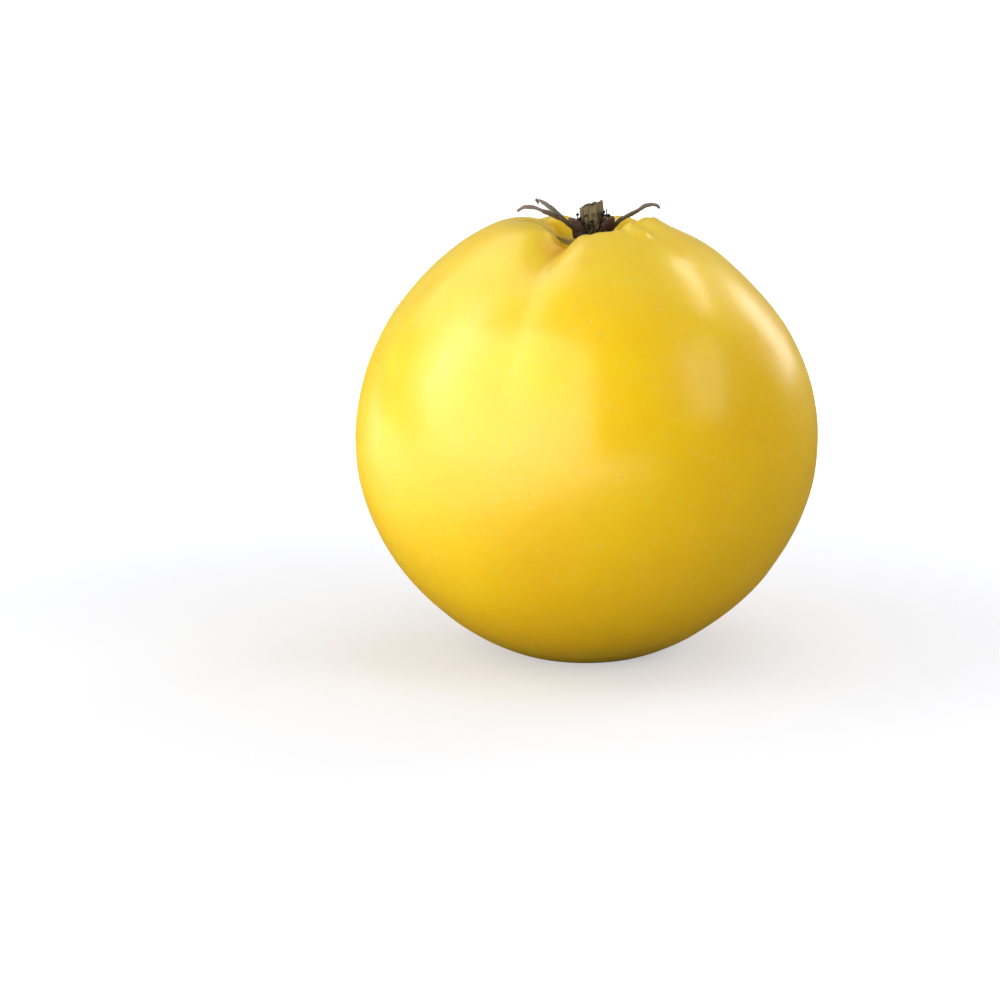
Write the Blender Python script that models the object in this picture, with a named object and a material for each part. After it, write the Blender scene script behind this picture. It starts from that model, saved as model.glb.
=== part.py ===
"""A ripe, round quince standing on its stalk end, with the dried calyx of its flower on top.

Metres, +Z up. The origin is under the middle of the fruit, on the surface it rests on.
Azimuths are in degrees round the fruit: 0 faces -Y, 90 faces +X.
"""

import math
import random

import bmesh
import bpy
from mathutils import Vector

MM = 0.001

# The flesh, before its furrows: a globe with a dip at each end.
GLOBE_RADIUS = 44.8 * MM
UPPER_HALF = 46.2 * MM
LOWER_HALF = 44.8 * MM
FLAT_CUT = 2.4 * MM
WAIST_HEIGHT = LOWER_HALF - FLAT_CUT
STALK_END_TAPER = 0.045

# The calyx basin at the top: a dip round a small flat floor.
BASIN_DEPTH = 7.4 * MM
BASIN_RADIUS = 7.8 * MM
BASIN_STEEPNESS = 2.6
BASIN_FLOOR_RADIUS = 4.4 * MM
CALYX_LEAN = 1.4 * MM

# The hollow round the stalk at the bottom.
STALK_HOLLOW_DEPTH = 6.5 * MM
STALK_HOLLOW_RADIUS = 6.5 * MM
STALK_FLOOR_RADIUS = 2.6 * MM

# Rings and segments of the flesh. The rings crowd towards both ends by this share.
RINGS = 46
SEGMENTS = 72
RING_CROWDING = 0.72

# Furrows between the lobes at the calyx end: azimuth, depth, how far from the core they fade,
# and how much steeper the wall on the side of the higher azimuths is.
FURROWS = (
    (-23.0, 3.6 * MM, 25.0 * MM, 0.35),
    (50.0, 0.6 * MM, 22.0 * MM, 0.0),
    (140.0, 1.9 * MM, 26.0 * MM, 0.1),
    (-174.0, 1.6 * MM, 22.0 * MM, 0.0),
    (-134.0, 1.8 * MM, 27.0 * MM, -0.1),
)
FURROW_START = 4.8 * MM
FURROW_FULL = 9.0 * MM
FURROW_WIDTH_AT_CORE = 0.7 * MM
FURROW_WIDENING = 0.17
RIB_SHARE = 0.16

# The lobes to the left and right of the calyx stand higher than the front and back ones.
CROWN_DROP_FRONT = 1.9 * MM
CROWN_DROP_BACK = 3.0 * MM
CROWN_DROP_SHARPNESS = 2.5
CROWN_REACH = 26.0 * MM

# Where the rim of the basin stands higher or lower than that: azimuth, spread in degrees, rise,
# how far from the core, and the distance over which it eases out.
RIM_SWAYS = (
    (75.0, 45.0, 1.9 * MM, 9.4 * MM, 2.6 * MM),
    (50.0, 24.0, 1.1 * MM, 9.6 * MM, 2.8 * MM),
    (85.0, 45.0, -0.8 * MM, 17.0 * MM, 5.0 * MM),
    (-86.0, 48.0, -1.6 * MM, 12.3 * MM, 4.6 * MM),
)

# The slow unevenness that each fruit has: amplitude, waves round the fruit, azimuth of a crest.
SWELLS = (
    (0.30 * MM, 2, 80.0),
    (0.45 * MM, 3, -60.0),
    (0.20 * MM, 5, 20.0),
)
FLAT_SHOULDER_AZIMUTH = 108.0
FLAT_SHOULDER_DEPTH = 2.8 * MM
FLAT_SHOULDER_HEIGHT = 73.0 * MM
FLAT_SHOULDER_SPREAD = 17.0 * MM

# The dried calyx: a ring on the basin's floor, and five sepals that rise from it.
CLEARANCE = 0.3 * MM
CALYX_RING_OUTER = 4.0 * MM
CALYX_RING_INNER = 2.9 * MM
CALYX_RING_HEIGHT = 2.2 * MM
CALYX_RING_SIDES = 30
SEPAL_ROOT_RADIUS = 3.4 * MM
SEPAL_ROOT_SINK = 0.9 * MM
SEPAL_THICKNESS = 0.7 * MM
SEPAL_TIP_SHARE = 0.26
SEPAL_STEPS_ALONG = 10
SEPAL_STEPS_ACROSS = 4

# Each sepal: azimuth, length, width, the slopes it takes from root to tip, gutter angle, twist.
SEPALS = (
    (-88.0, 13.0 * MM, 2.8 * MM, (46, 38, 20, 28, 4, -40), 50.0, 20.0),
    (-122.0, 11.5 * MM, 1.8 * MM, (26, 32, 44, 37, 29, 10), 40.0, -35.0),
    (92.0, 11.5 * MM, 2.6 * MM, (60, 40, 24, 38, 12, -44), 48.0, -20.0),
    (54.0, 4.0 * MM, 4.4 * MM, (56, 64, 74, 84, 94, 104), 60.0, 0.0),
    (-56.0, 4.2 * MM, 4.0 * MM, (58, 54, 54, 66, 80, 88), 70.0, 10.0),
)

# The dried stamens and styles: a woolly core with broken threads standing round and out of it.
STAMEN_CORE_RADIUS = 2.3 * MM
STAMEN_CORE_HEIGHT = 6.2 * MM
STAMEN_CORE_SIDES = 20
STAMEN_TOP_SLANT = 0.28
STAMEN_COUNT = 22
STAMEN_RADIUS = 0.36 * MM
STAMEN_SIDES = 6
STAMEN_STEPS = 3
STAMEN_HEIGHT = 7.1 * MM
STAMEN_HEIGHT_SPREAD = 1.4 * MM
STAMEN_LEAN = 0.5 * MM
STAMEN_SEED = 7

# The woody stub of the stalk, up inside its hollow and clear of the surface below.
STALK_RADIUS = 1.5 * MM
STALK_ROOT_RADIUS = 2.2 * MM
STALK_END_HEIGHT = 1.0 * MM
STALK_SIDES = 20
STALK_BEND = 0.5 * MM


def smooth_step(low, high, value):
    """0 below low, 1 above high, and a smooth rise between."""
    share = min(1.0, max(0.0, (value - low) / (high - low)))
    return share * share * (3.0 - 2.0 * share)


def unit_round(azimuth):
    """The level direction at an azimuth in degrees."""
    angle = math.radians(azimuth)
    return Vector((math.sin(angle), -math.cos(angle), 0.0))


def azimuth_gap(azimuth, centre):
    """How far one azimuth is from another, in radians, from -pi to pi."""
    return math.radians((azimuth - centre + 180.0) % 360.0 - 180.0)


def dip(radius, depth, width, steepness, floor_radius):
    """How deep a hollow is at a radius from the core: even over its floor, then easing out."""
    beyond_floor = max(0.0, radius - floor_radius)
    return depth * math.exp(-((beyond_floor / (width - 0.5 * floor_radius)) ** steepness))


def globe_profile(share):
    """(radius, height) of the turned flesh, from share 0 under the stalk to 1 in the calyx basin."""
    crowded = share - RING_CROWDING / math.tau * math.sin(math.tau * share)
    angle = math.pi * (crowded - 0.5)
    radius = GLOBE_RADIUS * math.cos(angle)
    if angle >= 0.0:
        height = WAIST_HEIGHT + UPPER_HALF * math.sin(angle)
        height -= dip(radius, BASIN_DEPTH, BASIN_RADIUS, BASIN_STEEPNESS, BASIN_FLOOR_RADIUS)
        return radius, height
    radius *= 1.0 - STALK_END_TAPER * math.sin(angle) ** 2 * smooth_step(0.0, 0.02, radius)
    height = WAIST_HEIGHT + LOWER_HALF * math.sin(angle)
    height += dip(radius, STALK_HOLLOW_DEPTH, STALK_HOLLOW_RADIUS, 2.0, STALK_FLOOR_RADIUS)
    return radius, height


def furrow_depth(radius, height, azimuth):
    """How far the furrows between the lobes sink the skin, at a point of the upper half."""
    start = smooth_step(FURROW_START, FURROW_FULL, radius)
    width = FURROW_WIDTH_AT_CORE + FURROW_WIDENING * radius
    total = 0.0
    for centre, depth, fade, skew in FURROWS:
        gap = azimuth_gap(azimuth, centre)
        across = radius * gap / (width * (1.0 - skew if gap > 0.0 else 1.0 + skew))
        along = RIB_SHARE + (1.0 - RIB_SHARE) * math.exp(-((radius / fade) ** 4))
        total += depth * along * math.exp(-(abs(across) ** 1.6))
    return total * start * smooth_step(0.6 * WAIST_HEIGHT, 1.5 * WAIST_HEIGHT, height)


def crown_drop(radius, height, azimuth):
    """How much lower than the side lobes the front and back of the rim stand."""
    facing = math.cos(math.radians(azimuth))
    sway = CROWN_DROP_FRONT if facing > 0.0 else CROWN_DROP_BACK
    sway *= abs(facing) ** CROWN_DROP_SHARPNESS
    reach = math.exp(-((radius / CROWN_REACH) ** 3))
    rise = smooth_step(FURROW_START, FURROW_FULL, radius)
    return sway * reach * rise * smooth_step(WAIST_HEIGHT, 1.4 * WAIST_HEIGHT, height)


def rim_sway(radius, height, azimuth):
    """How much higher the rim of the basin stands here than its even form."""
    total = 0.0
    for centre, spread, rise, distance, ease in RIM_SWAYS:
        beside = azimuth_gap(azimuth, centre) / math.radians(spread)
        beyond = (radius - distance) / ease
        total += rise * math.exp(-(beside * beside) - beyond * beyond)
    total *= smooth_step(FURROW_START, FURROW_FULL, radius)
    return total * smooth_step(WAIST_HEIGHT, 1.4 * WAIST_HEIGHT, height)


def swell(height, azimuth):
    """The slow bumps round the fruit, strongest at its waist, and its flatter shoulder."""
    belly = smooth_step(0.1 * WAIST_HEIGHT, 0.8 * WAIST_HEIGHT, height)
    belly *= 1.0 - smooth_step(1.5 * WAIST_HEIGHT, 1.9 * WAIST_HEIGHT, height)
    total = 0.0
    for amplitude, waves, crest in SWELLS:
        total += amplitude * math.cos(waves * azimuth_gap(azimuth, crest))
    side = math.exp(-((azimuth_gap(azimuth, FLAT_SHOULDER_AZIMUTH) / 0.7) ** 2))
    level = math.exp(-(((height - FLAT_SHOULDER_HEIGHT) / FLAT_SHOULDER_SPREAD) ** 2))
    return total * belly - FLAT_SHOULDER_DEPTH * side * level


def shape_flesh(point, normal):
    """A point of the turned flesh moved to where the grown fruit has it."""
    radius = math.hypot(point.x, point.y)
    azimuth = math.degrees(math.atan2(point.x, -point.y))
    sink = furrow_depth(radius, point.z, azimuth) - swell(point.z, azimuth)
    moved = point - normal * sink
    moved.z += rim_sway(radius, point.z, azimuth) - crown_drop(radius, point.z, azimuth)
    moved.x += CALYX_LEAN * smooth_step(WAIST_HEIGHT, 2.0 * WAIST_HEIGHT, point.z)
    moved.z = max(moved.z, 0.0)
    return moved


def finish_object(name, bm, material, sharp_degrees=None):
    """Puts a bmesh in an object of the scene, with its material and smooth shading."""
    bmesh.ops.recalc_face_normals(bm, faces=bm.faces)
    mesh = bpy.data.meshes.new(name)
    bm.to_mesh(mesh)
    bm.free()
    mesh.shade_smooth()
    if sharp_degrees is not None:
        mesh.set_sharp_from_angle(angle=math.radians(sharp_degrees))
    mesh.materials.append(material)
    obj = bpy.data.objects.new(name, mesh)
    bpy.context.scene.collection.objects.link(obj)
    return obj


def make_material(name, colour, roughness):
    """A plain Principled material. colour is linear red, green, blue."""
    material = bpy.data.materials.new(name)
    material.use_nodes = True
    shader = material.node_tree.nodes["Principled BSDF"]
    shader.inputs["Base Color"].default_value = (*colour, 1.0)
    shader.inputs["Roughness"].default_value = roughness
    shader.inputs["Metallic"].default_value = 0.0
    material.diffuse_color = (*colour, 1.0)
    return material


def turned(profile, sides):
    """A bmesh turned about Z from (radius, height) points, whose ends lie on the axis."""
    bm = bmesh.new()
    points = [bm.verts.new((radius, 0.0, height)) for radius, height in profile]
    edges = [bm.edges.new(pair) for pair in zip(points, points[1:])]
    bmesh.ops.spin(
        bm, geom=points + edges, axis=(0, 0, 1), cent=(0, 0, 0),
        angle=math.tau, steps=sides, use_merge=True,
    )
    bmesh.ops.remove_doubles(bm, verts=bm.verts, dist=0.01 * MM)
    bmesh.ops.recalc_face_normals(bm, faces=bm.faces)
    return bm


def make_fruit(material):
    """The flesh in one piece: turned from the globe's profile, then furrowed and swollen."""
    profile = [globe_profile(ring / RINGS) for ring in range(RINGS + 1)]
    profile[0] = (0.0, profile[0][1])
    profile[-1] = (0.0, profile[-1][1])
    bm = turned(profile, SEGMENTS)
    bm.normal_update()
    for vert, place in [(v, shape_flesh(v.co.copy(), v.normal.copy())) for v in bm.verts]:
        vert.co = place
    return finish_object("fruit", bm, material)


def basin_floor():
    """The middle of the basin's floor, where the calyx stands."""
    height = WAIST_HEIGHT + UPPER_HALF - BASIN_DEPTH
    lean = CALYX_LEAN * smooth_step(WAIST_HEIGHT, 2.0 * WAIST_HEIGHT, height)
    return Vector((lean, 0.0, height + CLEARANCE))


def slope_at(slopes, share):
    """The slope in radians at a share of the length, easing between the listed slopes."""
    place = share * (len(slopes) - 1)
    before = min(int(place), len(slopes) - 2)
    blend = place - before
    return math.radians(slopes[before] * (1.0 - blend) + slopes[before + 1] * blend)


def sepal_line(azimuth, length, slopes, steps):
    """The points of a sepal's middle line, each with the direction it runs in."""
    outward = unit_round(azimuth)
    point = basin_floor() + outward * SEPAL_ROOT_RADIUS
    point.z += CALYX_RING_HEIGHT - SEPAL_ROOT_SINK
    line = []
    for step in range(steps + 1):
        slope = slope_at(slopes, step / steps)
        along = outward * math.cos(slope) + Vector((0, 0, math.sin(slope)))
        line.append((point.copy(), along))
        point += along * (length / steps)
    return line


def make_sepal(azimuth, length, width, slopes, gutter, twist):
    """One dried sepal: a narrow blade, rolled like a gutter, tapering and twisting to its tip."""
    line = sepal_line(azimuth, length, slopes, SEPAL_STEPS_ALONG)
    across = unit_round(azimuth + 90.0)
    bend_radius = 0.5 * width / math.radians(gutter)
    bm = bmesh.new()
    bmesh.ops.create_grid(
        bm, x_segments=SEPAL_STEPS_ACROSS, y_segments=SEPAL_STEPS_ALONG, size=1.0
    )
    for vert in bm.verts:
        share = 0.5 * (vert.co.y + 1.0)
        centre, along = line[round(share * SEPAL_STEPS_ALONG)]
        taper = 1.0 - (1.0 - SEPAL_TIP_SHARE) * share**1.7
        turn = math.radians(twist) * share
        up = along.cross(across)
        side = across * math.cos(turn) + up * math.sin(turn)
        rise = up * math.cos(turn) - across * math.sin(turn)
        roll = math.radians(gutter) * vert.co.x * taper
        vert.co = centre + side * bend_radius * math.sin(roll)
        vert.co += rise * bend_radius * (1.0 - math.cos(roll))
    mesh = bpy.data.meshes.new("sepal")
    bm.to_mesh(mesh)
    bm.free()
    sepal = bpy.data.objects.new("sepal", mesh)
    solidify = sepal.modifiers.new("thickness", "SOLIDIFY")
    solidify.thickness = SEPAL_THICKNESS
    solidify.offset = 0.0
    return sepal


def fuse(obj, extras, label):
    """Joins the extra objects into obj by one Boolean union, and removes them."""
    collection = bpy.data.collections.new(label)
    bpy.context.scene.collection.children.link(collection)
    for extra in extras:
        collection.objects.link(extra)
    union = obj.modifiers.new(label, "BOOLEAN")
    union.operation = "UNION"
    union.operand_type = "COLLECTION"
    union.solver = "MANIFOLD"
    union.collection = collection
    graph = bpy.context.evaluated_depsgraph_get()
    joined = bpy.data.meshes.new_from_object(obj.evaluated_get(graph))
    obj.modifiers.clear()
    obj.data = joined
    for extra in extras:
        bpy.data.objects.remove(extra)
    bpy.data.collections.remove(collection)
    return obj


def make_calyx(material):
    """The ring that the flower left, with its five sepals."""
    foot = basin_floor()
    inner, outer, top = CALYX_RING_INNER, CALYX_RING_OUTER, CALYX_RING_HEIGHT
    bm = bmesh.new()
    corners = ((inner, 0.0), (outer, 0.0), (outer, 0.6 * top), (outer - 0.4 * MM, top), (inner, top))
    loop = [bm.verts.new((radius, 0.0, height)) for radius, height in corners]
    edges = [bm.edges.new((a, b)) for a, b in zip(loop, loop[1:] + loop[:1])]
    bmesh.ops.spin(
        bm, geom=loop + edges, axis=(0, 0, 1), cent=(0, 0, 0),
        angle=math.tau, steps=CALYX_RING_SIDES, use_merge=True,
    )
    bmesh.ops.translate(bm, vec=foot, verts=bm.verts)
    ring = finish_object("calyx", bm, material, sharp_degrees=40)
    return fuse(ring, [make_sepal(*sepal) for sepal in SEPALS], "sepals")


def make_thread(foot, lean, height):
    """One dried stamen: a thin tapering thread that leans out and ends broken off."""
    bm = bmesh.new()
    bmesh.ops.create_cone(
        bm, cap_ends=True, segments=STAMEN_SIDES,
        radius1=STAMEN_RADIUS, radius2=0.85 * STAMEN_RADIUS, depth=height,
    )
    tall = [e for e in bm.edges if abs(e.verts[0].co.z - e.verts[1].co.z) > 0.5 * height]
    bmesh.ops.subdivide_edges(bm, edges=tall, cuts=STAMEN_STEPS - 1, use_grid_fill=False)
    for vert in bm.verts:
        share = vert.co.z / height + 0.5
        vert.co.z += 0.5 * height
        vert.co += foot + lean * share * share
    mesh = bpy.data.meshes.new("thread")
    bm.to_mesh(mesh)
    bm.free()
    return bpy.data.objects.new("thread", mesh)


def make_stamens(material):
    """The tuft inside the calyx ring: a core of wool and styles, with the stamens round it."""
    draw = random.Random(STAMEN_SEED)
    foot = basin_floor()
    profile = [
        (0.0, 0.0),
        (STAMEN_CORE_RADIUS, 0.0),
        (STAMEN_CORE_RADIUS, 0.75 * STAMEN_CORE_HEIGHT),
        (0.86 * STAMEN_CORE_RADIUS, 0.94 * STAMEN_CORE_HEIGHT),
        (0.5 * STAMEN_CORE_RADIUS, STAMEN_CORE_HEIGHT),
        (0.0, STAMEN_CORE_HEIGHT),
    ]
    bm = turned(profile, STAMEN_CORE_SIDES)
    for vert in bm.verts:
        vert.co.z += STAMEN_TOP_SLANT * vert.co.x * vert.co.z / STAMEN_CORE_HEIGHT
    bmesh.ops.translate(bm, vec=foot, verts=bm.verts)
    core = finish_object("stamens", bm, material, sharp_degrees=40)
    threads = []
    for index in range(STAMEN_COUNT):
        share = (index + 0.5) / STAMEN_COUNT
        azimuth = index * 137.5 + draw.uniform(-12.0, 12.0)
        spread = 0.84 * STAMEN_CORE_RADIUS * math.sqrt(share)
        root = foot + unit_round(azimuth) * spread
        root.z += 0.6 * MM
        lean = unit_round(azimuth + draw.uniform(-50.0, 50.0)) * STAMEN_LEAN * (0.4 + share)
        height = STAMEN_HEIGHT - 0.6 * MM - STAMEN_HEIGHT_SPREAD * draw.random()
        height += STAMEN_TOP_SLANT * (root.x - foot.x)
        threads.append(make_thread(root, lean, height))
    return fuse(core, threads, "threads")


def make_stalk(material):
    """The woody stub of the stalk, flared where it leaves the flesh and snapped off short."""
    root = WAIST_HEIGHT - LOWER_HALF + STALK_HOLLOW_DEPTH - CLEARANCE
    length = root - STALK_END_HEIGHT
    profile = [
        (0.0, STALK_END_HEIGHT),
        (0.85 * STALK_RADIUS, STALK_END_HEIGHT),
        (STALK_RADIUS, STALK_END_HEIGHT + 0.12 * length),
        (STALK_RADIUS, STALK_END_HEIGHT + 0.55 * length),
        (1.15 * STALK_RADIUS, STALK_END_HEIGHT + 0.80 * length),
        (STALK_ROOT_RADIUS, root),
        (0.0, root),
    ]
    bm = turned(profile, STALK_SIDES)
    for vert in bm.verts:
        below_root = (root - vert.co.z) / length
        vert.co.x += STALK_BEND * below_root * below_root
    return finish_object("stalk", bm, material, sharp_degrees=40)


def main():
    for obj in list(bpy.data.objects):
        bpy.data.objects.remove(obj)
    skin = make_material("quince_skin", (0.86, 0.60, 0.03), 0.38)
    dried_sepal = make_material("dried_sepal", (0.085, 0.040, 0.030), 0.75)
    dried_stamen = make_material("dried_stamen", (0.17, 0.13, 0.065), 0.9)
    stalk_wood = make_material("stalk_wood", (0.16, 0.09, 0.045), 0.85)
    make_fruit(skin)
    make_calyx(dried_sepal)
    make_stamens(dried_stamen)
    make_stalk(stalk_wood)


main()
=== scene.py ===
import math
import random

import bmesh
import bpy
from mathutils import Matrix, Vector, noise


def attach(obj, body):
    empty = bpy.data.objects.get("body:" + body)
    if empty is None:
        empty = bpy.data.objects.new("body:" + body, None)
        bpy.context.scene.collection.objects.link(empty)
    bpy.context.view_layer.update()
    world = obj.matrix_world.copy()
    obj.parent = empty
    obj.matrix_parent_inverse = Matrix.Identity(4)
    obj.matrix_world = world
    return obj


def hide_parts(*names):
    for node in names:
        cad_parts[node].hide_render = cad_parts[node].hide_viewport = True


mm = 0.001
mergeGap = 0.002 * mm

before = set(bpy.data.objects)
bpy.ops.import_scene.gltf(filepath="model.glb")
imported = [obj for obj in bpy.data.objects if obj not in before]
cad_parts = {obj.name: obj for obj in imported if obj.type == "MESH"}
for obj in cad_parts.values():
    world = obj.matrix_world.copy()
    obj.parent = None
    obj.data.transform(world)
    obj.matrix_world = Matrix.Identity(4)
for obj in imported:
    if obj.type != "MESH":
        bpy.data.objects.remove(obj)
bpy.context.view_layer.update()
print("frame loaded:", sorted(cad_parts))


# small helpers

def roundAt(azimuth):  # level direction: 0 faces the camera, 90 is to its right
    angle = math.radians(azimuth)
    return Vector((math.sin(angle), -math.cos(angle), 0.0))


def gapTo(azimuth, centre):  # signed gap in radians
    return math.radians((azimuth - centre + 180.0) % 360.0 - 180.0)


def easeStep(low, high, value):
    share = min(1.0, max(0.0, (value - low) / (high - low)))
    return share * share * (3.0 - 2.0 * share)


def bell(value, width):
    return math.exp(-((value / width) ** 2))


def clumps(place, size, seed=0.0):  # smooth noise from -1 to 1, lumps of about this size
    return noise.noise(place / size + Vector((seed, 0.37 * seed, -0.61 * seed)))


def drift(place):  # a smooth random vector, each part from -1 to 1
    return Vector([noise.noise(place + Vector((shift, -shift, 0.5 * shift))) for shift in (3.7, 11.3, 19.1)])


def blendList(values, share):  # eases between listed values, 0 is the first and 1 the last
    place = min(1.0, max(0.0, share)) * (len(values) - 1)
    before = min(int(place), len(values) - 2)
    return values[before] + (values[before + 1] - values[before]) * (place - before)


def spinProfile(profile, sides):  # turns (radius, height) points about Z into a bmesh
    bm = bmesh.new()
    points = [bm.verts.new((radius, 0.0, height)) for radius, height in profile]
    edges = [bm.edges.new(pair) for pair in zip(points, points[1:])]
    bmesh.ops.spin(
        bm, geom=points + edges, axis=(0, 0, 1), cent=(0, 0, 0),
        angle=math.tau, steps=sides, use_merge=True,
    )
    bmesh.ops.remove_doubles(bm, verts=bm.verts, dist=mergeGap)
    bmesh.ops.recalc_face_normals(bm, faces=bm.faces)
    return bm


def spinThread(line, radii, sides):  # a closed tapering tube along the points of a line
    last = len(line) - 1
    profile = [(0.0, 0.0)] + [(1.0, float(index)) for index in range(last + 1)] + [(0.0, float(last))]
    bm = spinProfile(profile, sides)
    turns = []
    for index in range(last + 1):
        along = line[min(index + 1, last)] - line[max(index - 1, 0)]
        turns.append(along.to_track_quat("Z", "Y"))
    for vert in bm.verts:
        index = round(vert.co.z)
        flat = Vector((vert.co.x, vert.co.y, 0.0)) * radii[index]
        vert.co = line[index] + turns[index] @ flat
    return bm


def addShape(bm, shape):  # moves the geometry of one bmesh into another
    mesh = bpy.data.meshes.new("shape")
    shape.to_mesh(mesh)
    shape.free()
    bm.from_mesh(mesh)
    bpy.data.meshes.remove(mesh)


def keepPiece(name, bm, materials):  # a bmesh becomes a piece of the quince
    mesh = bpy.data.meshes.new(name)
    bm.to_mesh(mesh)
    bm.free()
    mesh.shade_smooth()
    for material in materials:
        mesh.materials.append(material)
    piece = bpy.data.objects.new(name, mesh)
    bpy.context.scene.collection.objects.link(piece)
    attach(piece, "root")
    return piece


# shader helpers

class Shader:  # builds the nodes of one material or group, each call adds a node and gives its output
    def __init__(self, tree):
        self.tree = tree

    def add(self, kind, inputs=None, output=0, **settings):
        node = self.tree.nodes.new(kind)
        for key, value in settings.items():
            setattr(node, key, value)
        for key, value in (inputs or {}).items():
            if isinstance(value, bpy.types.NodeSocket):
                self.tree.links.new(value, node.inputs[key])
            else:
                node.inputs[key].default_value = value
        return node.outputs[output]

    def noise(self, vector, scale, detail=3.0, rough=0.5, warp=0.0):
        return self.add(
            "ShaderNodeTexNoise",
            {"Vector": vector, "Scale": scale, "Detail": detail, "Roughness": rough, "Distortion": warp},
        )

    def remap(self, value, low, high, toLow=0.0, toHigh=1.0):
        return self.add(
            "ShaderNodeMapRange",
            {"Value": value, "From Min": low, "From Max": high, "To Min": toLow, "To Max": toHigh},
            interpolation_type="SMOOTHSTEP",
        )

    def math(self, operation, first, second=0.5):
        return self.add("ShaderNodeMath", {0: first, 1: second}, operation=operation)

    def mix(self, share, first, second):
        return self.add("ShaderNodeMix", {0: share, 6: first, 7: second}, output=2, data_type="RGBA")

    def cover(self, colour, mask, strength, over):  # lays a colour over another where the mask is
        return self.mix(self.math("MULTIPLY", mask, strength), colour, over)

    def place(self):  # the point in the coordinates of the object
        return self.add("ShaderNodeTexCoord", output="Object")

    def dot(self, vector, direction):
        return self.add(
            "ShaderNodeVectorMath", {0: vector, 1: direction}, output="Value", operation="DOT_PRODUCT"
        )

    def attribute(self, name):
        return self.add("ShaderNodeAttribute", output="Fac", attribute_name=name)

    def bump(self, height, strength, distance):
        return self.add("ShaderNodeBump", {"Height": height, "Strength": strength, "Distance": distance})

    def group(self, tree, inputs):
        return self.add("ShaderNodeGroup", inputs, node_tree=tree)


def newMaterial(name, constants, viewColour):
    material = bpy.data.materials.new(name)
    material.use_nodes = True
    material.diffuse_color = (*viewColour, 1.0)
    principled = material.node_tree.nodes["Principled BSDF"]
    for key, value in constants.items():
        principled.inputs[key].default_value = value
    return material, Shader(material.node_tree), principled


def newGroup(name, inputs, outputs):  # inputs: name, socket type, default
    tree = bpy.data.node_groups.new(name, "ShaderNodeTree")
    for label, kind, default in inputs:
        socket = tree.interface.new_socket(label, in_out="INPUT", socket_type=kind)
        if default is not None:
            socket.default_value = default
    for label, kind in outputs:
        tree.interface.new_socket(label, in_out="OUTPUT", socket_type=kind)
    start = tree.nodes.new("NodeGroupInput")
    end = tree.nodes.new("NodeGroupOutput")
    return tree, Shader(tree), start.outputs, end.inputs


def makeSpeckles():  # small scattered dots, sized and thinned out by the inputs
    tree, build, given, result = newGroup(
        "speckles",
        [
            ("Vector", "NodeSocketVector", None),
            ("Scale", "NodeSocketFloat", 300.0),
            ("Size", "NodeSocketFloat", 0.12),
            ("Share", "NodeSocketFloat", 0.5),
        ],
        [("Mask", "NodeSocketFloat")],
    )
    cells = tree.nodes.new("ShaderNodeTexVoronoi")
    tree.links.new(given["Vector"], cells.inputs["Vector"])
    tree.links.new(given["Scale"], cells.inputs["Scale"])
    drawn = build.add("ShaderNodeSeparateColor", {"Color": cells.outputs["Color"]})
    kept = build.math("LESS_THAN", drawn, given["Share"])
    inside = build.math("DIVIDE", cells.outputs["Distance"], given["Size"])
    dot = build.remap(inside, 1.0, 0.4)
    tree.links.new(build.math("MULTIPLY", dot, kept), result["Mask"])
    return tree


def makePatches():  # soft uneven patches: a broad and a finer noise together
    tree, build, given, result = newGroup(
        "patches",
        [
            ("Vector", "NodeSocketVector", None),
            ("Scale", "NodeSocketFloat", 40.0),
            ("Low", "NodeSocketFloat", 0.35),
            ("High", "NodeSocketFloat", 0.65),
        ],
        [("Mask", "NodeSocketFloat")],
    )
    broad = build.noise(given["Vector"], given["Scale"], detail=2.0, warp=0.4)
    finer = build.noise(given["Vector"], build.math("MULTIPLY", given["Scale"], 4.3), detail=4.0, rough=0.6)
    summed = build.add("ShaderNodeMix", {0: 0.3, 2: broad, 3: finer}, data_type="FLOAT")
    ranged = build.add(
        "ShaderNodeMapRange",
        {"Value": summed, "From Min": given["Low"], "From Max": given["High"]},
        interpolation_type="SMOOTHSTEP",
    )
    tree.links.new(ranged, result["Mask"])
    return tree


speckles = makeSpeckles()
patches = makePatches()


# the skin of the fruit

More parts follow.
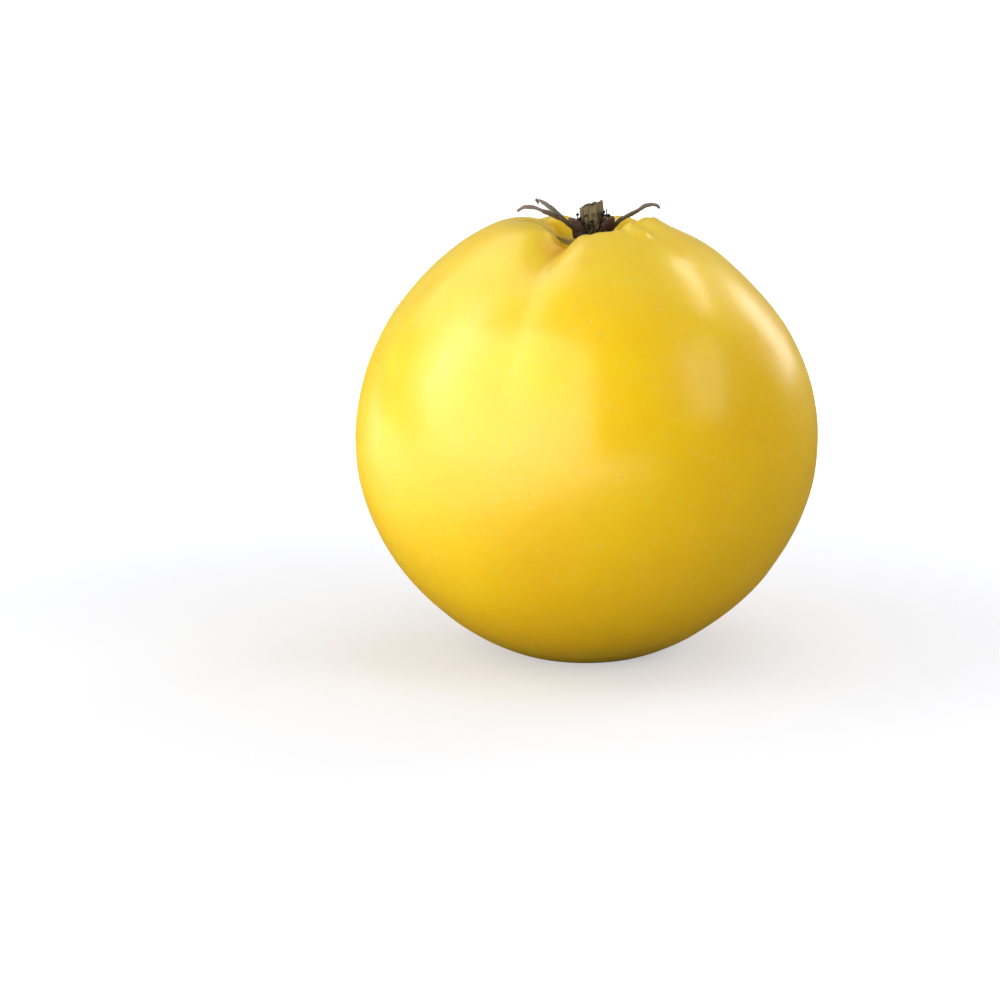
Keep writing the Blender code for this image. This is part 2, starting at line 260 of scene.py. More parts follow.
fruit = {
    "globeRadius": 44.8 * mm,
    "upperHalf": 46.2 * mm,
    "lowerHalf": 44.8 * mm,
    "waist": 42.4 * mm,
    "stalkEndTaper": 0.045,
    "basin": (7.4 * mm, 7.8 * mm, 2.6, 4.4 * mm),  # depth, radius, steepness, floor radius
    "stalkHollow": (6.5 * mm, 6.5 * mm, 2.0, 2.6 * mm),
    "calyxLean": 1.4 * mm,
    "restingEase": (0.6 * mm, 6.0 * mm),  # heights between which the flat resting ring ends
    "rings": 200,
    "segments": 288,
    "crowding": 0.72,  # how far the rings draw together at both ends
    # azimuth, depth, reach from the core, steeper wall towards higher azimuths
    "furrows": (
        (-23.0, 3.6 * mm, 25.0 * mm, 0.35),
        (50.0, 0.6 * mm, 22.0 * mm, 0.0),
        (140.0, 1.9 * mm, 26.0 * mm, 0.1),
        (-174.0, 1.6 * mm, 22.0 * mm, 0.0),
        (-134.0, 1.8 * mm, 27.0 * mm, -0.1),
    ),
    "furrowStart": (4.8 * mm, 9.0 * mm),
    "furrowWidth": (0.7 * mm, 0.17),  # at the core, growth with the distance from it
    "ribShare": 0.16,  # of a furrow's depth that goes on down the side
    "crownDrop": (1.9 * mm, 3.0 * mm, 2.5, 26.0 * mm),  # front, back, sharpness, reach
    # azimuth, spread in degrees, rise, distance from the core, ease: where the rim rises or dips
    "rimSways": (
        (75.0, 45.0, 1.9 * mm, 9.4 * mm, 2.6 * mm),
        (50.0, 24.0, 1.1 * mm, 9.6 * mm, 2.8 * mm),
        (85.0, 45.0, -0.8 * mm, 17.0 * mm, 5.0 * mm),
        (-86.0, 48.0, -1.6 * mm, 12.3 * mm, 4.6 * mm),
        (153.0, 18.0, 0.55 * mm, 16.5 * mm, 3.2 * mm),
        (68.0, 14.0, -0.45 * mm, 10.8 * mm, 1.8 * mm),
    ),
    # height, waves round, azimuth of a crest
    "swells": ((0.30 * mm, 2, 80.0), (0.45 * mm, 3, -60.0), (0.20 * mm, 5, 20.0)),
    # azimuth, spread in radians, depth, level, spread in height
    "flatShoulder": (108.0, 0.7, 2.8 * mm, 73.0 * mm, 17.0 * mm),
    # count round, depth, phase, slant: the fine folds that run into the calyx
    "puckers": ((13, 0.20 * mm, 0.4, 30.0), (22, 0.11 * mm, 1.9, -45.0), (37, 0.05 * mm, 0.9, 60.0)),
    "puckerStart": (4.6 * mm, 7.0 * mm),
    "puckerEnd": (9.0 * mm, 17.0 * mm),
    # size, depth
    "lumps": ((17.0 * mm, 0.26 * mm), (7.0 * mm, 0.09 * mm), (2.6 * mm, 0.016 * mm)),
    "lumpStart": (4.0 * mm, 10.0 * mm),
    # azimuth, distance from the core, height, width
    "knobs": ((39.0, 15.4 * mm, 0.45 * mm, 1.5 * mm), (-70.0, 11.5 * mm, 0.3 * mm, 1.8 * mm)),
    # masks for the colours
    "hollowDepth": 3.0 * mm,
    "hollowFade": (14.0 * mm, 30.0 * mm),
    "crownFade": (4.0 * mm, 14.0 * mm),
}


def dip(radius, depth, width, steepness, floorRadius):
    beyond = max(0.0, radius - floorRadius)
    return depth * math.exp(-((beyond / (width - 0.5 * floorRadius)) ** steepness))


def globeProfile(share):
    crowded = share - fruit["crowding"] / math.tau * math.sin(math.tau * share)
    angle = math.pi * (crowded - 0.5)
    radius = fruit["globeRadius"] * math.cos(angle)
    if angle >= 0.0:
        return radius, fruit["waist"] + fruit["upperHalf"] * math.sin(angle) - dip(radius, *fruit["basin"])
    radius *= 1.0 - fruit["stalkEndTaper"] * math.sin(angle) ** 2 * easeStep(0.0, 0.02, radius)
    height = fruit["waist"] + fruit["lowerHalf"] * math.sin(angle)
    return radius, height + dip(radius, *fruit["stalkHollow"])


def furrowDepth(radius, height, azimuth):
    waist = fruit["waist"]
    start = easeStep(*fruit["furrowStart"], radius)
    width = fruit["furrowWidth"][0] + fruit["furrowWidth"][1] * radius
    depth = 0.0
    for centre, deepest, fade, skew in fruit["furrows"]:
        gap = gapTo(azimuth, centre)
        across = radius * gap / (width * (1.0 - skew if gap > 0.0 else 1.0 + skew))
        along = fruit["ribShare"] + (1.0 - fruit["ribShare"]) * math.exp(-((radius / fade) ** 4))
        depth += deepest * along * math.exp(-(abs(across) ** 1.6))
    return depth * start * easeStep(0.6 * waist, 1.5 * waist, height)


def crownDrop(radius, height, azimuth):
    front, back, sharpness, reach = fruit["crownDrop"]
    facing = math.cos(math.radians(azimuth))
    sway = (front if facing > 0.0 else back) * abs(facing) ** sharpness
    sway *= math.exp(-((radius / reach) ** 3)) * easeStep(*fruit["furrowStart"], radius)
    return sway * easeStep(fruit["waist"], 1.4 * fruit["waist"], height)


def rimSway(radius, height, azimuth):
    total = 0.0
    for centre, spread, rise, distance, ease in fruit["rimSways"]:
        total += rise * bell(gapTo(azimuth, centre), math.radians(spread)) * bell(radius - distance, ease)
    total *= easeStep(*fruit["furrowStart"], radius)
    return total * easeStep(fruit["waist"], 1.4 * fruit["waist"], height)


def swell(height, azimuth):
    waist = fruit["waist"]
    belly = easeStep(0.1 * waist, 0.8 * waist, height) * (1.0 - easeStep(1.5 * waist, 1.9 * waist, height))
    total = sum(size * math.cos(waves * gapTo(azimuth, crest)) for size, waves, crest in fruit["swells"])
    side, turn, depth, level, spread = fruit["flatShoulder"]
    return total * belly - depth * bell(gapTo(azimuth, side), turn) * bell(height - level, spread)


def pucker(radius, azimuth):
    window = easeStep(*fruit["puckerStart"], radius) * (1.0 - easeStep(*fruit["puckerEnd"], radius))
    angle = math.radians(azimuth)
    folds = 0.0
    for count, depth, phase, slant in fruit["puckers"]:
        folds += depth * math.cos(count * angle + phase + slant * radius)
    return folds * window


def makeSkin(material):
    rings = fruit["rings"]
    profile = [globeProfile(ring / rings) for ring in range(rings + 1)]
    profile[0] = (0.0, profile[0][1])
    profile[-1] = (0.0, profile[-1][1])
    bm = spinProfile(profile, fruit["segments"])
    bm.normal_update()
    hollow = bm.verts.layers.float.new("hollow")
    crown = bm.verts.layers.float.new("crown")
    waist = fruit["waist"]
    moved = []
    for vert in bm.verts:
        place, normal = vert.co.copy(), vert.normal.copy()
        radius = math.hypot(place.x, place.y)
        azimuth = math.degrees(math.atan2(place.x, -place.y))
        upper = easeStep(waist, 1.3 * waist, place.z)
        depth = furrowDepth(radius, place.z, azimuth)
        sink = depth - swell(place.z, azimuth)
        free = easeStep(*fruit["restingEase"], place.z)  # the resting ring stays flat
        sink += pucker(radius, azimuth) * (upper + (1.0 - upper) * free)
        for size, height in fruit["lumps"]:
            sink += height * clumps(place, size, size * 900.0) * free * easeStep(*fruit["lumpStart"], radius)
        for side, away, height, width in fruit["knobs"]:
            spot = roundAt(side) * away
            sink -= height * upper * bell((Vector((place.x, place.y, 0.0)) - spot).length, width)
        target = place - normal * sink
        target.z += rimSway(radius, place.z, azimuth) - crownDrop(radius, place.z, azimuth)
        target.x += fruit["calyxLean"] * easeStep(waist, 2.0 * waist, place.z)
        target.z = max(target.z, 0.0)
        vert[hollow] = depth / fruit["hollowDepth"] * (1.0 - easeStep(*fruit["hollowFade"], radius))
        vert[crown] = upper * (1.0 - easeStep(*fruit["crownFade"], radius))
        moved.append((vert, target))
    for vert, target in moved:
        vert.co = target
    skin = keepPiece("fruitSkin", bm, [material])
    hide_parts("fruit")


def skinMaterial():
    material, build, principled = newMaterial(
        "quinceSkin",
        {
            "Subsurface Weight": 0.12,
            "Subsurface Radius": (0.5, 0.28, 0.06),
            "Subsurface Scale": 0.006,
            "Coat Roughness": 0.25,
            "Coat IOR": 2.0,
            "Specular Tint": (1.0, 0.80, 0.15, 1.0),
            "Specular IOR Level": 0.35,
            "IOR": 1.42,
        },
        (0.86, 0.60, 0.03),
    )
    place = build.place()
    broad = build.group(patches, {"Vector": place, "Scale": 24.0, "Low": 0.36, "High": 0.66})
    blotch = build.group(patches, {"Vector": place, "Scale": 75.0, "Low": 0.42, "High": 0.70})
    grain = build.noise(place, 900.0, detail=4.0, rough=0.6)
    colour = build.mix(broad, (0.87, 0.550, 0.001, 1.0), (0.90, 0.615, 0.003, 1.0))
    # painted shade: deeper golden low on the right, the side the lamps light least; painted highlight: paler
    # high on the left, where the big left lamps are mirrored in the skin
    shadeSide = build.dot(place, (0.62, -0.25, -0.74))
    shadeSideUneven = build.math("ADD", shadeSide, build.math("MULTIPLY", broad, -0.012))
    # painted shade on the lower right
    paintedShade = build.remap(shadeSideUneven, -0.062, 0.004)
    colour = build.cover(colour, paintedShade, 0.8, (0.81, 0.445, 0.001, 1.0))
    # painted highlight: the paler cover high on the left
    pale = build.remap(shadeSideUneven, -0.040, -0.085)
    colour = build.cover(colour, pale, 0.45, (0.92, 0.67, 0.025, 1.0))
    colour = build.cover(colour, blotch, 0.40, (0.81, 0.49, 0.004, 1.0))
    colour = build.cover(colour, grain, 0.16, (0.93, 0.72, 0.03, 1.0))
    # greener round the calyx and in the stalk hollow; round the calyx the dark olive is partly the skin's own
    # tint and partly painted shade in the basin; in the furrows painted shade, deeper orange and darker
    crown = build.attribute("crown")
    crownOliveAndShade = build.math(
        "MULTIPLY", build.remap(crown, 0.3, 0.95), build.remap(build.noise(place, 260.0), 0.25, 0.55)
    )
    # partly the skin's own olive, partly painted shade in the calyx basin
    colour = build.cover(colour, crownOliveAndShade, 0.9, (0.33, 0.23, 0.016, 1.0))
    hollow = build.attribute("hollow")
    # painted shade: the furrows deeper orange and darker
    colour = build.mix(build.remap(hollow, 0.06, 0.9, 0.0, 0.8), colour, (0.70, 0.36, 0.006, 1.0))
    height = build.add("ShaderNodeSeparateXYZ", {"Vector": place}, output="Z")
    stalkEnd = build.remap(height, 9.0 * mm, 1.0 * mm)
    colour = build.cover(colour, stalkEnd, 0.5, (0.58, 0.46, 0.03, 1.0))
    # lenticels: faint pores with a paler ring
    pores = build.group(speckles, {"Vector": place, "Scale": 460.0, "Size": 0.13, "Share": 0.5})
    halos = build.group(speckles, {"Vector": place, "Scale": 460.0, "Size": 0.34, "Share": 0.5})
    colour = build.cover(colour, halos, 0.16, (0.95, 0.78, 0.16, 1.0))
    colour = build.cover(colour, pores, 0.38, (0.50, 0.30, 0.03, 1.0))
    # a few russet flecks, thicker towards both ends
    ends = build.math("MAXIMUM", crown, stalkEnd)
    flecks = build.noise(place, 700.0, detail=5.0, rough=0.7, warp=0.8)
    fleckMask = build.remap(build.math("ADD", flecks, build.math("MULTIPLY", ends, 0.10)), 0.66, 0.74)
    colour = build.cover(colour, fleckMask, 0.55, (0.30, 0.15, 0.03, 1.0))
    links = material.node_tree.links
    links.new(colour, principled.inputs["Base Color"])
    rough = build.remap(build.noise(place, 150.0, detail=3.0), 0.3, 0.7, 0.36, 0.47)
    links.new(build.math("ADD", rough, build.math("MULTIPLY", crown, 0.12)), principled.inputs["Roughness"])
    coat = build.remap(broad, 0.0, 1.0, 0.28, 0.21)
    dulled = build.remap(build.math("ADD", crown, hollow), 0.1, 0.7, 1.0, 0.2)  # matt round the calyx
    links.new(build.math("MULTIPLY", coat, dulled), principled.inputs["Coat Weight"])
    peel = build.noise(place, 620.0, detail=3.0, rough=0.55)
    relief = build.math("SUBTRACT", peel, build.math("MULTIPLY", pores, 0.6))
    links.new(build.bump(relief, 0.10, 0.25 * mm), principled.inputs["Normal"])
    return material


makeSkin(skinMaterial())
print("skin done")


# the dried calyx: a ring with five sepals

calyx = {
    "clearance": 0.3 * mm,
    "ringRadii": (2.9 * mm, 4.0 * mm),
    "ringHeight": 2.2 * mm,
    "ringSag": (0.45, 0.42),  # share that the torn rim sinks between the sepals, spread of a sepal's foot
    "ringFolds": (27, 0.13 * mm),  # count round, depth
    "ringTear": 0.36 * mm,
    "ringSteps": 160,
    "rootRadius": 3.4 * mm,
    "rootSink": 0.9 * mm,
    "steps": (44, 10),  # along, across
    "thickness": 0.33 * mm,
    "tipShare": 0.26,
    "tipPinch": 0.55,
    "edgeTear": 0.18,
    "shrinkage": 0.22,
    "wrinkle": 0.16 * mm,
    # azimuth, length, width, slopes from root to tip, gutter angle, twist, sway, paleness
    "sepals": (
        (-88.0, 13.0 * mm, 2.8 * mm, (46, 38, 20, 28, 4, -40), 50.0, 20.0, 0.5 * mm, 0.10),
        (-122.0, 11.2 * mm, 1.15 * mm, (24, 28, 38, 34, 25, 6), 40.0, -35.0, 0.3 * mm, 0.85),
        (92.0, 11.5 * mm, 2.6 * mm, (60, 40, 24, 38, 12, -44), 48.0, -20.0, -0.4 * mm, 0.35),
        (54.0, 3.4 * mm, 4.4 * mm, (56, 64, 74, 84, 94, 104), 60.0, 0.0, 0.2 * mm, 0.0),
        (-56.0, 3.5 * mm, 4.0 * mm, (58, 54, 54, 66, 80, 88), 70.0, 10.0, -0.2 * mm, 0.05),
    ),
}


def basinFloor():
    height = fruit["waist"] + fruit["upperHalf"] - fruit["basin"][0]
    lean = fruit["calyxLean"] * easeStep(fruit["waist"], 2.0 * fruit["waist"], height)
    return Vector((lean, 0.0, height + calyx["clearance"]))


def sepalLine(azimuth, length, slopes, sway):
    outward, sideways = roundAt(azimuth), roundAt(azimuth + 90.0)
    point = basinFloor() + outward * calyx["rootRadius"]
    point.z += calyx["ringHeight"] - calyx["rootSink"]
    steps = calyx["steps"][0]
    line = []
    for step in range(steps + 1):
        share = step / steps
        slope = math.radians(blendList(slopes, share))
        along = outward * math.cos(slope) + Vector((0.0, 0.0, math.sin(slope)))
        line.append((point + sideways * sway * math.sin(2.6 * share) * share, along))
        point = point + along * (length / steps)
    return line


def addSepal(bm, layers, index, azimuth, length, width, slopes, gutter, twist, sway, paleness):
    alongSteps, acrossSteps = calyx["steps"]
    line = sepalLine(azimuth, length, slopes, sway)
    across = roundAt(azimuth + 90.0)
    bendRadius = 0.5 * width / math.radians(gutter)
    made = bmesh.ops.create_grid(bm, x_segments=acrossSteps, y_segments=alongSteps, size=1.0)["verts"]
    for vert in made:
        u, share = vert.co.x, 0.5 * (vert.co.y + 1.0)
        centre, along = line[round(share * alongSteps)]
        taper = 1.0 - (1.0 - calyx["tipShare"]) * share**1.7
        # torn and shrunken edges, and a pinched tip
        ragged = noise.noise(Vector((9.0 * share, 2.0 * math.copysign(1.0, u), 5.0 * index)))
        shrunk = noise.noise(Vector((5.0 * share, 8.0, 7.0 * index)))
        torn = calyx["edgeTear"] * ragged * abs(u)
        taper *= 1.0 + torn + calyx["shrinkage"] * shrunk * easeStep(0.1, 0.4, share)
        taper *= 1.0 - calyx["tipPinch"] * easeStep(0.90, 1.0, share)
        turn = math.radians(twist) * share
        up = along.cross(across)
        side = across * math.cos(turn) + up * math.sin(turn)
        rise = up * math.cos(turn) - across * math.sin(turn)
        curl = 1.0 + 0.5 * easeStep(0.2, 0.9, share) * u * u
        roll = math.radians(gutter) * u * taper * curl
        place = centre + side * bendRadius * math.sin(roll) + rise * bendRadius * (1.0 - math.cos(roll))
        crumple = noise.noise(Vector((1.6 * u, 11.0 * share, 3.0 * index + 0.5)))
        crumple += 0.5 * noise.noise(Vector((3.5 * u, 26.0 * share, 3.0 * index)))
        ribs = 0.35 * math.cos(3.0 * math.pi * u) * taper
        vert.co = place + rise * calyx["wrinkle"] * (crumple + ribs) * easeStep(0.0, 0.15, share)
        vert[layers["along"]] = share
        vert[layers["reach"]] = share * length / (9.0 * mm)
        vert[layers["across"]] = u
        vert[layers["pale"]] = paleness
    faces = list({face for vert in made for face in vert.link_faces})
    bmesh.ops.recalc_face_normals(bm, faces=faces)
    middle = made[len(made) // 2].link_faces[0]
    if middle.normal.dot(line[alongSteps // 2][1].cross(across)) < 0.0:
        bmesh.ops.reverse_faces(bm, faces=faces)
    bmesh.ops.solidify(bm, geom=faces, thickness=calyx["thickness"])
    for vert in made:  # the face that lay inside the flower
        vert[layers["inside"]] = 1.0


def makeCalyx(material):
    inner, outer = calyx["ringRadii"]
    top, foot = calyx["ringHeight"], basinFloor()
    corners = [
        (inner, 0.1 * mm), (outer - 0.1 * mm, 0.1 * mm), (outer, 0.4 * top), (outer - 0.05 * mm, 0.7 * top),
        (outer - 0.25 * mm, 0.9 * top), (outer - 0.5 * mm, top), (inner + 0.2 * mm, 0.92 * top),
        (inner + 0.05 * mm, 0.7 * top), (inner, 0.4 * top),
    ]
    bm = bmesh.new()
    labels = ("along", "reach", "across", "pale", "inside")
    layers = {label: bm.verts.layers.float.new(label) for label in labels}
    loop = [bm.verts.new((radius, 0.0, height)) for radius, height in corners]
    edges = [bm.edges.new(pair) for pair in zip(loop, loop[1:] + loop[:1])]
    bmesh.ops.spin(
        bm, geom=loop + edges, axis=(0, 0, 1), cent=(0, 0, 0),
        angle=math.tau, steps=calyx["ringSteps"], use_merge=True,
    )
    bmesh.ops.remove_doubles(bm, verts=bm.verts, dist=mergeGap)
    bmesh.ops.recalc_face_normals(bm, faces=bm.faces)
    sag, spread = calyx["ringSag"]
    folds, foldDepth = calyx["ringFolds"]
    for vert in bm.verts:  # wrinkled all round, torn along the rim, highest where a sepal leaves it
        azimuth = math.degrees(math.atan2(vert.co.x, -vert.co.y))
        lift = vert.co.z / top
        wander = clumps(vert.co, 1.5 * mm, 3.0)
        fold = math.cos(folds * math.radians(azimuth) + 5.0 * wander)
        torn = clumps(vert.co, 0.6 * mm, 7.0)
        footing = max(bell(gapTo(azimuth, sepal[0]), spread) for sepal in calyx["sepals"])
        out = Vector((vert.co.x, vert.co.y, 0.0)).normalized()
        vert.co += out * (foldDepth * fold + 0.2 * mm * wander) * lift
        vert.co.z *= 1.0 - sag * (1.0 - footing) * lift
        vert.co.z += calyx["ringTear"] * torn * lift * lift
        vert[layers["across"]] = fold
        vert[layers["along"]] = 0.1 * lift
    bmesh.ops.translate(bm, vec=foot, verts=bm.verts)
    for index, sepal in enumerate(calyx["sepals"]):
        addSepal(bm, layers, index, *sepal)
    piece = keepPiece("driedCalyx", bm, [material])
    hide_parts("calyx")


def sepalMaterial():
    material, build, principled = newMaterial(
        "driedSepal", {"IOR": 1.45, "Specular IOR Level": 0.2}, (0.085, 0.040, 0.030)
    )
    place = build.place()
    along, across = build.attribute("along"), build.attribute("across")
    pale, inside = build.attribute("pale"), build.attribute("inside")
    # veins run along the blade
    blade = build.add(
        "ShaderNodeCombineXYZ",
        {"X": build.math("MULTIPLY", across, 5.0), "Y": build.math("MULTIPLY", along, 2.2), "Z": pale},
    )
    veins = build.noise(blade, 3.2, detail=5.0, rough=0.65, warp=0.3)
    worn = build.group(patches, {"Vector": place, "Scale": 420.0, "Low": 0.40, "High": 0.62})
    fine = build.noise(place, 2600.0, detail=4.0, rough=0.65)
    dark = build.mix(build.remap(veins, 0.35, 0.65), (0.012, 0.005, 0.002, 1.0), (0.052, 0.022, 0.011, 1.0))
    tan = build.mix(build.remap(veins, 0.38, 0.62), (0.045, 0.028, 0.015, 1.0), (0.20, 0.150, 0.080, 1.0))
    length = build.attribute("reach")  # how far out from the ring, 1 at 9 mm
    colour = build.mix(build.remap(length, 0.15, 0.55, 0.0, 0.8), dark, tan)
    worn = build.math("MULTIPLY", worn, build.remap(length, 0.0, 0.5, 0.10, 0.45))
    colour = build.mix(worn, colour, (0.19, 0.110, 0.100, 1.0))
    # the inner face stays dark purple brown, the outer one and the tips weather to grey
    purple = build.mix(build.remap(veins, 0.38, 0.70), (0.024, 0.010, 0.008, 1.0), (0.125, 0.066, 0.056, 1.0))
    darker = build.math("MULTIPLY", build.remap(length, 0.5, 1.2, 0.8, 0.35), inside)
    darker = build.math("MULTIPLY", darker, build.remap(pale, 0.4, 0.9, 1.0, 0.25))
    colour = build.mix(darker, colour, purple)
    outside = build.math("SUBTRACT", 1.0, build.math("MULTIPLY", darker, 0.8))
    greyGreen = build.mix(veins, (0.15, 0.145, 0.090, 1.0), (0.30, 0.29, 0.22, 1.0))
    greyed = build.math("MULTIPLY", build.math("MULTIPLY", pale, build.remap(length, 0.0, 0.4)), outside)
    colour = build.mix(greyed, colour, greyGreen)
    weathered = build.math("MULTIPLY", build.remap(length, 0.65, 1.1, 0.0, 0.75), outside)
    colour = build.mix(weathered, colour, (0.27, 0.23, 0.235, 1.0))
    colour = build.mix(build.remap(fine, 0.60, 0.80, 0.0, 0.25), colour, (0.30, 0.24, 0.19, 1.0))
    links = material.node_tree.links
    links.new(colour, principled.inputs["Base Color"])
    links.new(build.remap(worn, 0.0, 1.0, 0.62, 0.85), principled.inputs["Roughness"])
    relief = build.math("ADD", build.math("MULTIPLY", veins, 1.4), build.math("MULTIPLY", fine, 0.5))
    links.new(build.bump(relief, 0.6, 0.12 * mm), principled.inputs["Normal"])
    return material


makeCalyx(sepalMaterial())
print("calyx done")


# the dried styles and stamens that stand inside the calyx

tuft = {
    "seed": 11,
    # the woolly styles, dried into one squarish stump with a slanted top
    "stumpRadius": 2.12 * mm,
    "stumpHeight": 6.5 * mm,
    "stumpTurn": -18.0,
    "squareness": 5.0,
    "topSlant": 0.28,
    "topTear": 0.34 * mm,
    "topHollow": 0.5 * mm,
    "stumpTaper": 0.06,
    "stumpLean": 0.45 * mm,
    "stumpRings": 44,
    "capRings": 12,
    "stumpSides": 120,
    "grooves": (15, 0.16 * mm),  # count round, depth
    "stamens": 64,
    "stamenTurn": 137.5,  # degrees from one stamen to the next
    "stamenStray": (14.0, 38.0),  # degrees that its root and its top stray
    "stamenRadius": 0.16 * mm,
    "stamenTaper": 0.35,
    "stamenSpread": (1.9 * mm, 2.5 * mm),  # nearest and farthest from the middle
    "spreadShares": (0.95, 1.15),  # of that distance, at the root and at the top
    "rootHeight": 0.6 * mm,
    "stamenTop": (2.2 * mm, 5.6 * mm),
    "bow": (0.35 * mm, 0.95 * mm),
    "kink": 0.8,
    "anther": (0.30 * mm, 0.22 * mm, 0.48 * mm),
    "antherShare": 0.4,
    # azimuth, distance out and height of the tip, anther size: the ones that lean over the rim
    "strays": (
        (86.0, 2.9 * mm, 4.5 * mm, 1.5),
        (-64.0, 2.9 * mm, 3.8 * mm, 1.3),
        (28.0, 2.6 * mm, 5.2 * mm, 1.0),
        (122.0, 3.9 * mm, 3.4 * mm, 1.1),
        (152.0, 3.7 * mm, 2.7 * mm, 1.3),
        (-172.0, 4.3 * mm, 2.5 * mm, 1.0),
        (-150.0, 3.4 * mm, 3.3 * mm, 0.0),
        (-18.0, 3.5 * mm, 2.6 * mm, 1.1),
        (14.0, 3.8 * mm, 2.3 * mm, 0.0),
    ),
    "sides": 8,
    "points": 14,
}


def crookedLine(root, top, bow, draw, points):  # from root to top, bowed and a little kinked
    middle = Vector((draw.uniform(-1.0, 1.0), draw.uniform(-1.0, 1.0), 0.0)) * bow
    start = draw.uniform(0.0, 40.0)
    line = []
    for index in range(points):
        share = index / (points - 1)
        place = root.lerp(top, share) + middle * math.sin(math.pi * share)
        jitter = drift(Vector((start, 4.5 * share, 0.0))) * tuft["kink"] * bow
        line.append(place + jitter * easeStep(0.0, 0.3, share))
    return line


def makeStump(foot):
    radius, height, power = tuft["stumpRadius"], tuft["stumpHeight"], tuft["squareness"]
    rings, capRings, taper = tuft["stumpRings"], tuft["capRings"], tuft["stumpTaper"]
    side = [(radius * (1.0 - taper * step / rings), height * step / rings) for step in range(rings + 1)]
    cap = [((1.0 - taper) * radius * (1.0 - step / capRings), height) for step in range(1, capRings)]
    bm = spinProfile([(0.0, 0.0)] + side + cap + [(0.0, height)], tuft["stumpSides"])
    tint = bm.verts.layers.float.new("tint")
    grooves, grooveDepth = tuft["grooves"]
    for vert in bm.verts:
        azimuth = math.atan2(vert.co.x, -vert.co.y) - math.radians(tuft["stumpTurn"])
        out = Vector((vert.co.x, vert.co.y, 0.0))
        away, lift = out.length / radius, vert.co.z / height
        corner = abs(math.cos(azimuth)) ** power + abs(math.sin(azimuth)) ** power
        squared = out * corner ** (-1.0 / power)
        sway = 2.0 * clumps(Vector((azimuth, 1.5 * lift, 0.0)), 0.6, 1.0)
        fold = abs(math.sin(0.5 * grooves * azimuth + sway)) ** 0.6
        squared -= out * (1.0 - fold) * grooveDepth / radius
        squared += out * 0.10 * clumps(vert.co, 0.8 * mm, 2.0) * lift
        ragged = clumps(vert.co, 0.55 * mm, 5.0) + 0.6 * clumps(vert.co, 0.25 * mm, 9.0)
        place = Vector((squared.x, squared.y, vert.co.z))
        place.z += tuft["topSlant"] * squared.x * lift
        broken = tuft["topTear"] * ragged - tuft["topHollow"] * easeStep(0.75, 0.1, away)
        place.z += broken * easeStep(0.9, 1.0, lift)
        place.x -= tuft["stumpLean"] * lift
        vert.co = foot + place
        brokenTopShade = easeStep(0.9, 1.0, lift) * easeStep(0.9, 0.4, away)  # painted shade in the hollow of the broken top
        # painted shade: the tint is darker in the grooves and low down among the stamens
        vert[tint] = (0.15 + 0.65 * fold * easeStep(0.25, 0.7, lift)) * (1.0 - 0.8 * brokenTopShade)
    return bm


def addStamen(bm, root, top, size, lightness, antherSize, draw):
    line = crookedLine(root, top, draw.uniform(*tuft["bow"]), draw, tuft["points"])
    last = len(line) - 1
    radii = [size * (1.0 - tuft["stamenTaper"] * index / last) for index in range(last + 1)]
    thread = spinThread(line, radii, tuft["sides"])
    shade = thread.verts.layers.float.new("tint")
    for vert in thread.verts:
        vert[shade] = lightness
    addShape(bm, thread)
    if antherSize == 0.0:
        return
    anther = bmesh.new()
    bmesh.ops.create_icosphere(anther, subdivisions=2, radius=1.0)
    turn = (line[-1] - line[-3]).to_track_quat("Z", "Y").to_matrix().to_4x4()
    lean = Matrix.Rotation(draw.uniform(0.4, 1.2), 4, "X")
    scale = Matrix.Diagonal((*[antherSize * axis for axis in tuft["anther"]], 1.0))
    bmesh.ops.transform(anther, matrix=Matrix.Translation(line[-1]) @ turn @ lean @ scale, verts=anther.verts)
    for vert in anther.verts:
        vert.co += drift(vert.co / (0.3 * mm)) * 0.06 * mm
    for face in anther.faces:
        face.material_index = 1
    addShape(bm, anther)


def makeTuft(woolMaterial, antherMaterial):
    draw = random.Random(tuft["seed"])
    foot = basinFloor()
    bm = makeStump(foot)
    near, far = tuft["stamenSpread"]
    rootShare, topShare = tuft["spreadShares"]
    rootStray, topStray = tuft["stamenStray"]
    raised = Vector((0.0, 0.0, tuft["rootHeight"]))
    # stamens lean and cross round the stump, and some keep their anthers
    for index in range(tuft["stamens"]):
        azimuth = tuft["stamenTurn"] * index + draw.uniform(-rootStray, rootStray)
        root = foot + roundAt(azimuth) * draw.uniform(near, far) * rootShare + raised
        topSide = roundAt(azimuth + draw.uniform(-topStray, topStray))
        top = foot + topSide * draw.uniform(near, far) * topShare
        top.z += draw.uniform(*tuft["stamenTop"])
        antherSize = draw.uniform(0.8, 1.1) if draw.random() < tuft["antherShare"] else 0.0
        size = tuft["stamenRadius"] * draw.uniform(0.8, 1.25)
        addStamen(bm, root, top, size, draw.uniform(0.0, 0.6), antherSize, draw)
    for azimuth, away, height, antherSize in tuft["strays"]:
        root = foot + roundAt(azimuth) * far * 0.9 + raised
        top = foot + roundAt(azimuth) * away + Vector((0.0, 0.0, height))
        addStamen(bm, root, top, 1.3 * tuft["stamenRadius"], 0.1, antherSize, draw)
    piece = keepPiece("driedStamens", bm, [woolMaterial, antherMaterial])
    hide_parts("stamens")


